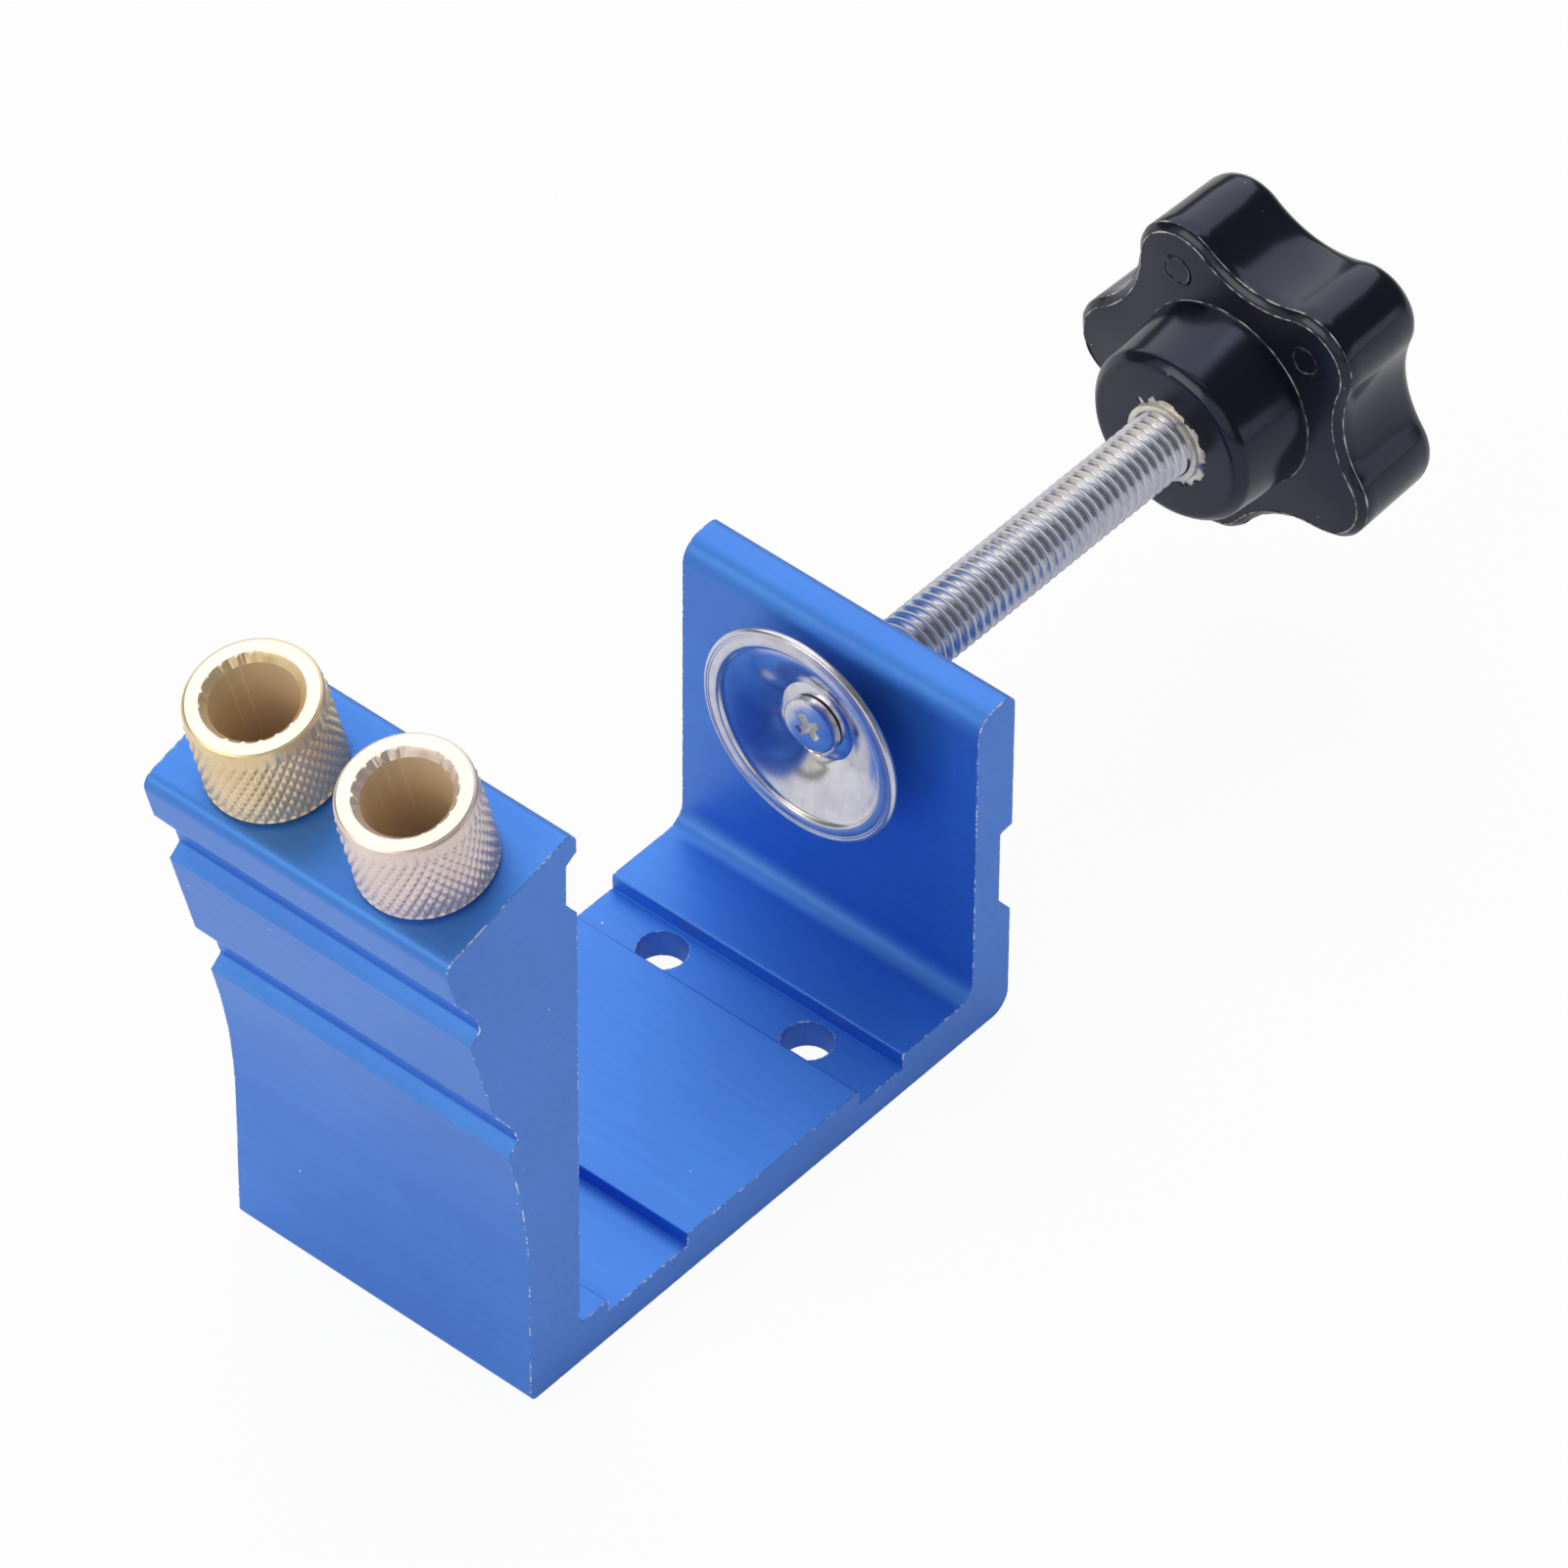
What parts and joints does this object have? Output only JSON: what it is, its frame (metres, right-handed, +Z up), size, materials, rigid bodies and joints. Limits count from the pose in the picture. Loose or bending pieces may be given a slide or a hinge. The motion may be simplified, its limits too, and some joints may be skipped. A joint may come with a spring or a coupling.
{
  "type": "pocket hole jig",
  "caption": "Blue anodised clamp-on pocket hole jig with two slanted knurled drill guide bushes and a hand screw with a swivelling pressure cup and a black star knob.",
  "frame": {"origin": "on the underside of the base, midway along the base and midway across it", "axes": "+X from the guide block to the clamp wall along the clamp screw, +Y across the width, +Z up out of the base"},
  "size_m": [0.163, 0.0413, 0.089],
  "materials": {
    "anodised_body": "blue anodised, satin",
    "guide_brass": "turned, diamond knurled outside",
    "zinc_steel": "bright zinc plated",
    "knob_plastic": "moulded, gloss black"
  },
  "bodies": {
    "jig": {"jig_body": "anodised_body", "drill_bush_near": "guide_brass", "drill_bush_far": "guide_brass"},
    "cup": {"pressure_cup": "zinc_steel"},
    "clamp": {"clamp_screw": "zinc_steel", "cup_screw": "zinc_steel", "knob": "knob_plastic", "knob_insert": "zinc_steel"}
  },
  "joints": [
    {"name": "screw_travel", "type": "slide", "parent": "jig", "child": "cup", "axis": [-1, 0, 0], "range_m": [-0.0006, 0.048]},
    {"name": "screw_turn", "type": "hinge", "parent": "cup", "child": "clamp", "pos_m": [0.06, 0, 0.03485], "axis": [-1, 0, 0], "range_deg": [-144, 13800]}
  ],
  "couplings": [
    {"joint": "screw_travel", "follows": "screw_turn", "m_per_rad": 0.00019894}
  ]
}
